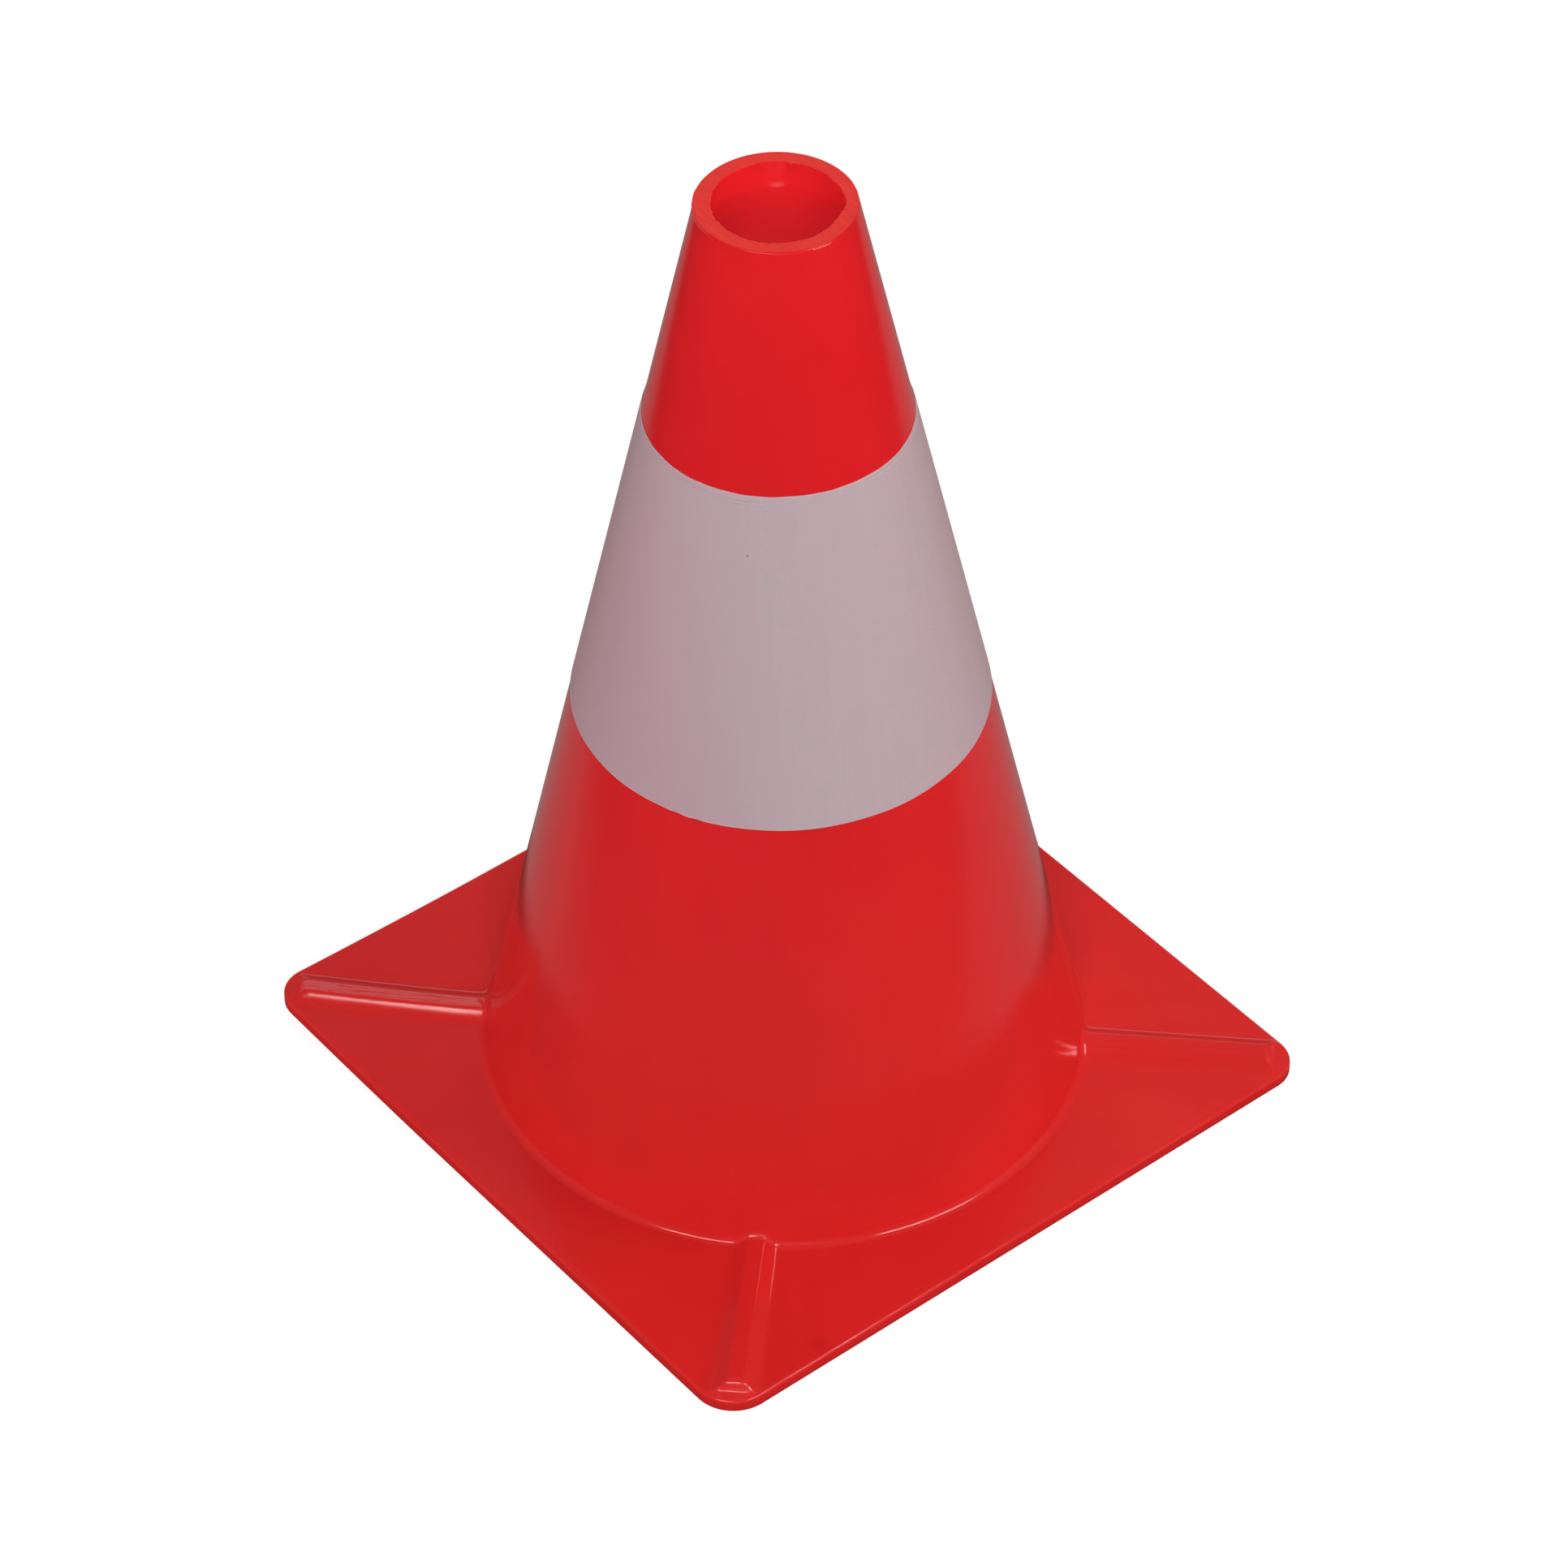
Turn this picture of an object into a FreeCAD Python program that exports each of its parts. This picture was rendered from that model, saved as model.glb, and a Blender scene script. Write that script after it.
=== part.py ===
"""Traffic cone, 300 mm tall, modelled as the two pieces that it is made of.

cone_body is one flexible PVC moulding: a hollow tapered wall, open at both ends so that cones
nest, which flows through a hollow round into a square plate with rounded corners, with a low
rib on each of the plate's diagonals. The moulding is filled through its top, so the wall is
thickest there, and the rim is a plain knife cut across it.

reflective_band is a strip of retroreflective sheeting, 100 mm wide. It is wrapped once round
the wall on its own layer of adhesive, and its two ends overlap in a seam.

Frame: millimetres, +Z up, origin on the floor at the centre of the plate, whose sides lie along
X and Y.
"""
import FreeCAD
import Part
import os
import Sketcher

# Driving dimensions, in millimetres and degrees: alias, value, meaning.
DIMENSIONS = [
    ("height", 300.0, "floor to the trimmed rim"),
    ("rim_radius", 21.0, "outside of the wall at the rim"),
    ("foot_radius", 86.4, "outside of the wall, carried down to the floor"),
    ("bore_radius", 17.0, "hole through the rim"),
    ("bore_length", 8.0, "straight length of that hole"),
    ("foot_wall", 3.0, "level thickness of the wall at the floor"),
    ("foot_round", 2.5, "hollow round between the wall and the plate"),
    ("plate_side", 210.0, "side of the square plate"),
    ("plate_corner", 10.0, "radius of the plate's corners"),
    ("plate_thick", 4.0, "thickness of the plate"),
    ("plate_edge_round", 1.0, "round on the plate's upper edge"),
    ("plate_edge_chamfer", 0.5, "chamfer on the plate's lower edge"),
    ("rib_start", 82.8, "axis to a rib's inner end, which is buried in the wall"),
    ("rib_end", 141.0, "axis to a rib's outer end, at the plate"),
    ("rib_width", 7.8, "width of a rib, at the plate"),
    ("rib_height", 2.8, "height of a rib above the plate"),
    ("rib_draft", 30.0, "slope of a rib's sides and ends, from upright"),
    ("rib_azimuth", 45.0, "direction of the first rib"),
    ("rib_count", 4, "ribs round the cone"),
    ("band_floor", 134.7, "height at which the sheeting's lower edge meets the wall"),
    ("band_width", 100.0, "width of the sheeting, along the wall"),
    ("sheet_thick", 0.45, "thickness of the sheeting"),
    ("glue_thick", 0.1, "thickness of the adhesive, left as a gap"),
    ("seam_azimuth", 45.0, "direction of the seam's middle"),
    ("seam_angle", 13.0, "turn over which the sheeting lies double"),
]

# The wall's outside, as expressions on the sheet: how far it leans in per millimetre of height,
# and its lean from upright.
WALL_SLOPE = "((dims.foot_radius - dims.rim_radius) / dims.height)"
WALL_LEAN = f"atan({WALL_SLOPE})"

ON_PLANE = 1e-4


def make_sheet(doc):
    """The spreadsheet that the sizes of every sub-part are bound to."""
    sheet = doc.addObject("Spreadsheet::Sheet", "dims")
    for row, (alias, value, meaning) in enumerate(DIMENSIONS, start=1):
        sheet.set(f"A{row}", meaning)
        sheet.set(f"B{row}", str(value))
        sheet.setAlias(f"B{row}", alias)
    doc.recompute()
    return sheet


def value_of(owner, expression):
    """The number that an expression on the sheet has now."""
    result = owner.evalExpression(expression)
    return getattr(result, "Value", result)


def make_body(doc, label):
    body = doc.addObject("PartDesign::Body", label)
    body.Label = label
    return body


def origin_feature(body, role):
    return next(feature for feature in body.Origin.OriginFeatures if feature.Role == role)


def make_sketch(body, name, plane_role):
    """A sketch on one of the body's own origin planes."""
    sketch = body.newObject("Sketcher::SketchObject", name)
    sketch.AttachmentSupport = [(origin_feature(body, plane_role), "")]
    sketch.MapMode = "FlatFace"
    return sketch


def turn_sketch(sketch, axis, angle):
    """Turns a sketch about one of its own axes, by an angle from the sheet."""
    sketch.AttachmentOffset = FreeCAD.Placement(FreeCAD.Vector(), FreeCAD.Rotation(axis, 1.0))
    sketch.setExpression("AttachmentOffset.Rotation.Angle", angle)


def drive(sketch, constraint, name, expression):
    """Adds a dimension to a sketch and binds it to the sheet."""
    index = sketch.addConstraint(constraint)
    sketch.renameConstraint(index, name)
    sketch.setExpression(f"Constraints.{name}", expression)


def add_polygon(sketch, corners):
    """A closed outline of straight lines through corners given as (name, across, up)."""
    places = []
    for _, across, up in corners:
        places.append(FreeCAD.Vector(value_of(sketch, across), value_of(sketch, up), 0))
    count = len(corners)
    for i in range(count):
        sketch.addGeometry(Part.LineSegment(places[i], places[(i + 1) % count]), False)
    for i in range(count):
        sketch.addConstraint(Sketcher.Constraint("Coincident", i, 2, (i + 1) % count, 1))
    for i, (name, across, up) in enumerate(corners):
        distance_x = Sketcher.Constraint("DistanceX", -1, 1, i, 1, places[i].x)
        distance_y = Sketcher.Constraint("DistanceY", -1, 1, i, 1, places[i].y)
        drive(sketch, distance_x, f"{name}_across", across)
        drive(sketch, distance_y, f"{name}_up", up)


def add_circle(sketch, name, radius):
    """A circle about the sketch's origin."""
    size = value_of(sketch, radius)
    circle = sketch.addGeometry(Part.Circle(FreeCAD.Vector(), FreeCAD.Vector(0, 0, 1), size), False)
    sketch.addConstraint(Sketcher.Constraint("Coincident", circle, 3, -1, 1))
    drive(sketch, Sketcher.Constraint("Radius", circle, size), name, radius)


def revolve(body, sketch, name):
    """Turns a sketch about the cone's axis."""
    turned = body.newObject("PartDesign::Revolution", name)
    turned.Profile = sketch
    turned.ReferenceAxis = (sketch, ["V_Axis"])
    turned.Angle = 360.0
    body.Document.recompute()
    return turned


def dress(body, kind, name, base, wanted, size_property, size):
    """Rounds or bevels the edges of base for which wanted(edge) holds."""
    edges = [f"Edge{i}" for i, edge in enumerate(base.Shape.Edges, start=1) if wanted(edge)]
    feature = body.newObject(f"PartDesign::{kind}", name)
    feature.Base = (base, edges)
    feature.setExpression(size_property, size)
    body.Document.recompute()
    return feature


def is_level(edge, height):
    box = edge.BoundBox
    return abs(box.ZMin - height) < ON_PLANE and abs(box.ZMax - height) < ON_PLANE


def reach(edge):
    """How far the edge gets from the axis, along X or Y."""
    box = edge.BoundBox
    return max(abs(box.XMin), abs(box.XMax), abs(box.YMin), abs(box.YMax))


# ------------------------------------------------------------------------------- cone_body


def make_wall(body):
    """The tapered wall, with a short straight bore behind the rim."""
    section = make_sketch(body, "wall_section", "XZ_Plane")
    add_polygon(section, [
        ("outer_foot", "dims.foot_radius", "0"),
        ("outer_rim", "dims.rim_radius", "dims.height"),
        ("inner_rim", "dims.bore_radius", "dims.height"),
        ("bore_end", "dims.bore_radius", "dims.height - dims.bore_length"),
        ("inner_foot", "dims.foot_radius - dims.foot_wall", "0"),
    ])
    return revolve(body, section, "wall")


def make_plate(body, wall_at_plate):
    """The square plate, its rounded corners and edges, and the round up into the wall."""
    outline = make_sketch(body, "plate_outline", "XY_Plane")
    half = "dims.plate_side / 2"
    add_polygon(outline, [
        ("right_back", half, half),
        ("left_back", f"-{half}", half),
        ("left_front", f"-{half}", f"-{half}"),
        ("right_front", half, f"-{half}"),
    ])
    # The plate's hole lies in the middle of the wall, so that the two run into each other.
    add_circle(outline, "hole", "dims.foot_radius - dims.foot_wall / 2")
    plate = body.newObject("PartDesign::Pad", "plate")
    plate.Profile = outline
    plate.setExpression("Length", "dims.plate_thick")
    body.Document.recompute()

    half_side = value_of(plate, half)
    thick = value_of(plate, "dims.plate_thick")

    def is_corner(edge):
        return reach(edge) > half_side - ON_PLANE and edge.BoundBox.ZLength > thick / 2

    def is_foot(edge):
        return is_level(edge, thick) and abs(reach(edge) - wall_at_plate) < ON_PLANE

    def is_upper_edge(edge):
        return is_level(edge, thick) and reach(edge) > half_side - ON_PLANE

    def is_lower_edge(edge):
        return is_level(edge, 0) and reach(edge) > half_side - ON_PLANE

    steps = [
        ("Fillet", "plate_corners", is_corner, "Radius", "dims.plate_corner"),
        ("Fillet", "foot", is_foot, "Radius", "dims.foot_round"),
        ("Fillet", "plate_upper_edge", is_upper_edge, "Radius", "dims.plate_edge_round"),
        ("Chamfer", "plate_lower_edge", is_lower_edge, "Size", "dims.plate_edge_chamfer"),
    ]
    feature = plate
    for kind, name, wanted, size_property, size in steps:
        feature = dress(body, kind, name, feature, wanted, size_property, size)
    return feature


def make_ribs(body):
    """One drafted rib on the plate, repeated round the cone."""
    outline = make_sketch(body, "rib_outline", "XY_Plane")
    turn_sketch(outline, FreeCAD.Vector(0, 0, 1), "dims.rib_azimuth")
    outline.setExpression("AttachmentOffset.Base.z", "dims.plate_thick")
    side = "dims.rib_width / 2"
    add_polygon(outline, [
        ("inner_right", "dims.rib_start", f"-{side}"),
        ("outer_right", "dims.rib_end", f"-{side}"),
        ("outer_left", "dims.rib_end", side),
        ("inner_left", "dims.rib_start", side),
    ])
    rib = body.newObject("PartDesign::Pad", "rib")
    rib.Profile = outline
    rib.setExpression("Length", "dims.rib_height")
    rib.setExpression("TaperAngle", "-dims.rib_draft")
    body.Document.recompute()

    ribs = body.newObject("PartDesign::PolarPattern", "ribs")
    ribs.Originals = [rib]
    ribs.Axis = (origin_feature(body, "Z_Axis"), [""])
    ribs.Angle = 360.0
    ribs.setExpression("Occurrences", "dims.rib_count")
    body.Tip = ribs
    body.Document.recompute()
    return ribs


def make_cone_body(doc):
    body = make_body(doc, "cone_body")
    wall = make_wall(body)
    wall_at_plate = value_of(wall, f"dims.foot_radius - {WALL_SLOPE} * dims.plate_thick")
    make_plate(body, wall_at_plate)
    make_ribs(body)
    return body


# ------------------------------------------------------------------------- reflective_band


def make_strip_section(body, name, depth):
    """Section of the sheeting where it lies on the wall, depth out from the wall's surface."""
    section = make_sketch(body, name, "XZ_Plane")
    corners = []
    for edge, along in (("lower", "0"), ("upper", "dims.band_width")):
        faces = [("inner", depth), ("outer", f"{depth} + dims.sheet_thick")]
        if edge == "upper":
            faces.reverse()
        for face, out in faces:
            across = (f"dims.foot_radius - {WALL_SLOPE} * dims.band_floor"
                      f" - {along} * sin({WALL_LEAN}) + ({out}) * cos({WALL_LEAN})")
            up = f"dims.band_floor + {along} * cos({WALL_LEAN}) + ({out}) * sin({WALL_LEAN})"
            corners.append((f"{edge}_{face}", across, up))
    add_polygon(section, corners)
    return section


def make_reflective_band(doc):
    """The strip once round, and the end that laps over its own start at the seam."""
    body = make_body(doc, "reflective_band")
    once_round = make_strip_section(body, "strip_section", "dims.glue_thick")
    revolve(body, once_round, "strip")

    lapped = make_strip_section(body, "lap_section", "dims.glue_thick + dims.sheet_thick")
    turn_sketch(lapped, FreeCAD.Vector(0, 1, 0), "dims.seam_azimuth")
    lap = revolve(body, lapped, "lap")
    lap.Midplane = True
    lap.setExpression("Angle", "dims.seam_angle")
    doc.recompute()
    return body


# ------------------------------------------------------------------------------ the object


def check_document(doc, bodies):
    """Stops if any object failed, or a sub-part is not one closed solid."""
    for item in doc.Objects:
        if "Invalid" in item.State or "Error" in item.State:
            raise RuntimeError(f"{item.Name} failed: {item.State}")
    for body in bodies:
        shape = body.Shape
        if shape.isNull() or not shape.isValid() or len(shape.Solids) != 1:
            raise RuntimeError(f"{body.Label} is not one valid solid")
        box = shape.optimalBoundingBox(False)
        print(f"{body.Label}: {shape.Volume / 1000:.1f} cm3, "
              f"x {box.XMin:.2f} to {box.XMax:.2f}, y {box.YMin:.2f} to {box.YMax:.2f}, "
              f"z {box.ZMin:.2f} to {box.ZMax:.2f}")


def main():
    doc = FreeCAD.newDocument("traffic_cone")
    make_sheet(doc)
    bodies = [make_cone_body(doc), make_reflective_band(doc)]
    doc.recompute()
    check_document(doc, bodies)
    os.makedirs("parts", exist_ok=True)
    for body in bodies:
        body.Shape.exportStep(f"parts/{body.Label}.step")


main()
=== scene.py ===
"""Looks for the traffic cone: one soft PVC moulding with a band of reflective sheeting round it.

Shapes are worked out in millimetres in the part's own frame and turned into metres by make_piece.
Azimuths are degrees anticlockwise from +X, seen from above.
"""

import math

import bpy
import numpy as np
from mathutils import Matrix, Vector


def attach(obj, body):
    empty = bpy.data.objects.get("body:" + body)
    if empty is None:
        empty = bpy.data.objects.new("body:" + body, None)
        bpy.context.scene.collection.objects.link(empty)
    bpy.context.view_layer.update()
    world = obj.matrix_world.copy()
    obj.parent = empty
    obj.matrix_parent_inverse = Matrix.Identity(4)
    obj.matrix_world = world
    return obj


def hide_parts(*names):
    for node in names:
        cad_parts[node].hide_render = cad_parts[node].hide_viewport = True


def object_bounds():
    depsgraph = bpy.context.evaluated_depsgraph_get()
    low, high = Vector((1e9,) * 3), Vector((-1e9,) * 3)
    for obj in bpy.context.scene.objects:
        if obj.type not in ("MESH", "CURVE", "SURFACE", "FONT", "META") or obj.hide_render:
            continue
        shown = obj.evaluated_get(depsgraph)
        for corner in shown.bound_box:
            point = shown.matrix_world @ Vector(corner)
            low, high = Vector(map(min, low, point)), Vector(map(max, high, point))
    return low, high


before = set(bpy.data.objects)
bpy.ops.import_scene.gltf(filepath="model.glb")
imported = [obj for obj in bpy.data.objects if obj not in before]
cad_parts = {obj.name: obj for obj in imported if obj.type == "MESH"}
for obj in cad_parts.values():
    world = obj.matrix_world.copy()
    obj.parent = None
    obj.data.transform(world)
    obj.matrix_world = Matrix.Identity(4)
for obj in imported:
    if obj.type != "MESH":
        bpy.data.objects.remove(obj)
cad_low, cad_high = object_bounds()

MM = 0.001

# Sizes of the moulding. The first two are the frame's; the others are repeated from the part.
HEIGHT = cad_high.z / MM
HALF_SIDE = cad_high.x / MM
RIM_RADIUS = 21.0
FOOT_RADIUS = 86.4
BORE_RADIUS = 17.0
BORE_LENGTH = 8.0
FOOT_WALL = 3.0
FOOT_ROUND = 2.5
PLATE_CORNER = 10.0
PLATE_THICK = 4.0
EDGE_ROUND = 1.0
EDGE_CHAMFER = 0.5
RIB_END = 141.0
RIB_CROWN = 4.6
RIB_HEIGHT = 2.8
WALL_SLOPE = (FOOT_RADIUS - RIM_RADIUS) / HEIGHT
WALL_LEAN = math.atan(WALL_SLOPE)

# Sizes of the sheeting, repeated from the part, apart from its thickness: rolled on hard, it
# stands out less than the part's clearance and thickness make it.
BAND_FLOOR = 134.7
BAND_WIDTH = 100.0
SHEET_THICK = 0.28
GLUE_THICK = 0.03
SEAM_AZIMUTH = 45.0
SEAM_ANGLE = 13.0

# Each diagonal's rib: how far its middle lies to the left of the diagonal at its inner and outer
# end, looking outward, how much its crown leans (rise towards that side, as a slope), how far
# the plate's corner is lifted, and how much larger than the part's that corner's radius is.
RIBS = {
    45.0: {"inner": 0.0, "outer": 0.0, "roll": 0.00, "lift": 0.0, "blunt": 0.0},
    135.0: {"inner": 2.1, "outer": 0.8, "roll": 0.10, "lift": 1.7, "blunt": 0.0},
    225.0: {"inner": 1.3, "outer": 1.3, "roll": 0.00, "lift": 0.0, "blunt": 2.3},
    315.0: {"inner": 0.8, "outer": 0.8, "roll": 0.04, "lift": 0.0, "blunt": 0.0},
}
RIB_RUN = (90.0, 139.0)

# The ribs' soft shape: the slope of their flanks, which is gentler than the part's, and of their
# outer end, how far that end's foot is drawn in, how much the crown falls off to its sides, and
# how far the ridge between flank and end, the crown's edge and the foot are rounded.
RIB_SIDE_SLOPE = 0.90
RIB_END_SLOPE = 1.8
RIB_END_INSET = 1.2
RIB_CROWN_FALL = 0.02
RIB_RIDGE = 0.3
RIB_SHOULDER = 0.22
RIB_FOOT = 0.80

# Where a lifted corner leaves the floor, along its diagonal, and how fast it then curls up.
LIFT_START = 95.0
LIFT_POWER = 1.6

# The sink mark in the plate: its place, depth and spread.
SINK_PLACE = (-69.3, -100.2)
SINK_DEPTH = 0.16
SINK_SPREAD = 2.6


# ---------------------------------------------------------------------------------- helpers


def make_piece(name, points, faces, materials, face_materials=None):
    """A smooth mesh piece from points in millimetres, riding on the part."""
    mesh = bpy.data.meshes.new(name)
    mesh.from_pydata((np.asarray(points) * MM).tolist(), [], faces)
    for material in materials:
        mesh.materials.append(material)
    if face_materials is not None:
        mesh.polygons.foreach_set("material_index", face_materials)
    mesh.polygons.foreach_set("use_smooth", [True] * len(mesh.polygons))
    mesh.validate()
    mesh.update()
    piece = bpy.data.objects.new(name, mesh)
    bpy.context.scene.collection.objects.link(piece)
    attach(piece, "root")
    return piece


def grid_faces(rows, columns, wrap_rows, wrap_columns):
    """Quads over a grid of points, stored row by row."""
    faces = []
    for row in range(rows if wrap_rows else rows - 1):
        above = (row + 1) % rows
        for column in range(columns if wrap_columns else columns - 1):
            beside = (column + 1) % columns
            faces.append((row * columns + column, row * columns + beside,
                          above * columns + beside, above * columns + column))
    return faces


def graded(stretches):
    """Steps from the first stretch's start to the last one's end: (start, end, step) each."""
    values = []
    for start, end, step in stretches:
        count = max(1, round(abs(end - start) / step))
        values.extend(np.linspace(start, end, count, endpoint=False))
    values.append(stretches[-1][1])
    return np.array(values)


def smooth_step(low, high, value):
    share = np.clip((value - low) / (high - low), 0, 1)
    return share * share * (3 - 2 * share)


def soft_ramp(value, width):
    """Zero below 0 and value above it, rounded over about width on each side."""
    return width * np.logaddexp(0, value / width)


def bump(value, middle, width):
    return np.exp(-((value - middle) / width) ** 2)


def turn_difference(azimuth, middle):
    """How far azimuth is from middle, in degrees, from -180 to 180."""
    return (azimuth - middle + 180) % 360 - 180


def wall_radius(z):
    return FOOT_RADIUS - WALL_SLOPE * z


# -------------------------------------------------------------------------- the cone's shape

# The grid's columns run outward. They are dense over each rib and fan out between the ribs.
DENSE_HALF_WIDTH = 10.2
DENSE_STEP = 0.3
FAN_STEPS = 40

# The plate's top is graded as far as this from its outer edge.
TOP_INSET = 2.0


def rib_height(along, across, rib):
    """Height of a rib above the plate, at a distance along its diagonal and across it."""
    share = np.clip((along - RIB_RUN[0]) / (RIB_RUN[1] - RIB_RUN[0]), 0, 1)
    aside = across - rib["inner"] - (rib["outer"] - rib["inner"]) * share
    side_ramp = RIB_SIDE_SLOPE * (RIB_CROWN / 2 - np.abs(aside)) + RIB_HEIGHT
    end_ramp = RIB_END_SLOPE * (RIB_END - RIB_END_INSET - along)
    ramp = side_ramp - soft_ramp(side_ramp - end_ramp, RIB_RIDGE)
    raised = soft_ramp(ramp, RIB_FOOT)
    near = np.clip(aside, -RIB_CROWN, RIB_CROWN)
    crown = RIB_HEIGHT + rib["roll"] * near - RIB_CROWN_FALL * near ** 2
    return crown - soft_ramp(crown - raised, RIB_SHOULDER)


def corner_lift(along, rib):
    """How far the soft plate has risen off the floor towards a corner."""
    share = np.clip((along - LIFT_START) / (HALF_SIDE * math.sqrt(2) - LIFT_START), 0, None)
    return rib["lift"] * share ** LIFT_POWER


def outline_point(across, corner):
    """Where a line beside the diagonal meets the plate's inset outline, and the normal there."""
    radius = corner - TOP_INSET
    if abs(across) <= radius * math.sin(math.radians(45)):
        reach = math.sqrt(radius ** 2 - across ** 2)
        centre = (HALF_SIDE - corner) * math.sqrt(2)
        return (centre + reach, across), (reach / radius, across / radius)
    side = math.copysign(math.sqrt(0.5), across)
    along = (HALF_SIDE - TOP_INSET) * math.sqrt(2) - abs(across)
    return (along, across), (math.sqrt(0.5), side)


def spokes():
    """The grid's columns, once round: each has a diagonal, the plan azimuth of its foot, its
    offset from the diagonal there, its end on the plate's inset outline and the normal there."""
    found = []
    inner = wall_radius(PLATE_THICK) + FOOT_ROUND / 2
    dense = np.arange(-DENSE_HALF_WIDTH, DENSE_HALF_WIDTH + DENSE_STEP / 2, DENSE_STEP)
    edge_angle = math.degrees(math.asin(DENSE_HALF_WIDTH / inner))
    (edge_along, _), _ = outline_point(DENSE_HALF_WIDTH, PLATE_CORNER)
    middle_across = (HALF_SIDE - TOP_INSET) / math.sqrt(2)
    for diagonal in sorted(RIBS):
        fan = []
        for step in range(1, FAN_STEPS + 1):
            share = step / FAN_STEPS
            share = 0.3 * share + 0.7 * share ** 2  # finer beside the rib
            angle = edge_angle + (45 - edge_angle) * share
            across = DENSE_HALF_WIDTH + (middle_across - DENSE_HALF_WIDTH) * share
            along = edge_along - (across - DENSE_HALF_WIDTH)
            fan.append((angle, (along, across), (math.sqrt(0.5), math.sqrt(0.5))))
        for angle, (along, across), (out, side) in reversed(fan[:-1]):
            found.append((diagonal, -angle, (along, -across), (out, -side)))
        for across in dense:
            end, normal = outline_point(across, PLATE_CORNER + RIBS[diagonal]["blunt"])
            found.append((diagonal, math.degrees(math.asin(across / inner)), end, normal))
        for angle, end, normal in fan:
            found.append((diagonal, angle, end, normal))
    return found


def to_plan(diagonal, along, across):
    c = math.cos(math.radians(diagonal))
    s = math.sin(math.radians(diagonal))
    return along * c - across * s, along * s + across * c


def rim_wobble(azimuth):
    """How far the hole's trimmed edge strays outward at the rim: waves and ragged teeth all
    round, a nick at 38.6 degrees, and a bulge that starts with a torn step at -50."""
    undersize = 0.30
    waves = 0.06 * np.sin(np.radians(azimuth * 7 + 40)) + 0.04 * np.sin(np.radians(azimuth * 17))
    ragged = 0.10 + 0.16 * bump(turn_difference(azimuth, 165), 0, 50)
    teeth = np.sin(np.radians(azimuth * 31)) * np.sin(np.radians(azimuth * 13 + 60))
    nick = -0.60 * bump(turn_difference(azimuth, 38.6), 0, 1.5)
    bulge = 0.75 * smooth_step(-53, -43, azimuth) * (1 - smooth_step(-38, 5, azimuth))
    tear = 0.45 * bump(turn_difference(azimuth, -50), 0, 2.0)
    return waves + ragged * teeth + nick + bulge + tear - undersize


def rim_lip(azimuth):
    """How far the knife turned the rim's outer edge outward, on one side."""
    ripple = 1 + 0.12 * np.sin(np.radians(azimuth * 23))
    return 0.55 * bump(turn_difference(azimuth, 152), 0, 34) * ripple


def cut_bevel(azimuth):
    """Width of the worn edge between the rim's face and the wall: broader in front."""
    return 0.15 + 0.40 * bump(turn_difference(azimuth, -128), 0, 38)


def dimple(x, y):
    """A shallow sink mark in the plate, in front of the cone."""
    away = (x - SINK_PLACE[0]) ** 2 + (y - SINK_PLACE[1]) ** 2
    return -SINK_DEPTH * np.exp(-away / (2 * SINK_SPREAD ** 2))


PLATE_ROWS = graded([(0.0, 0.05, 0.008), (0.05, 0.82, 0.02), (0.82, 1.0, 0.0062)])
FOOT_ROWS = 14
WALL_ROWS = graded([(0.0, 0.9, 0.022), (0.9, 0.985, 0.01), (0.985, 1.0, 0.0015)])
FACE_ROWS = 10
BEVEL_ROWS = 4

# How far down the wall the turned lip reaches, how far the hole's edge is broken, how much the
# cut face is dished, and the height of the small round between the underside and the hollow.
LIP_DEPTH = 1.6
HOLE_BREAK = 0.12
FACE_DISH = 0.04
HOLLOW_ROUND = 0.4


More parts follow.
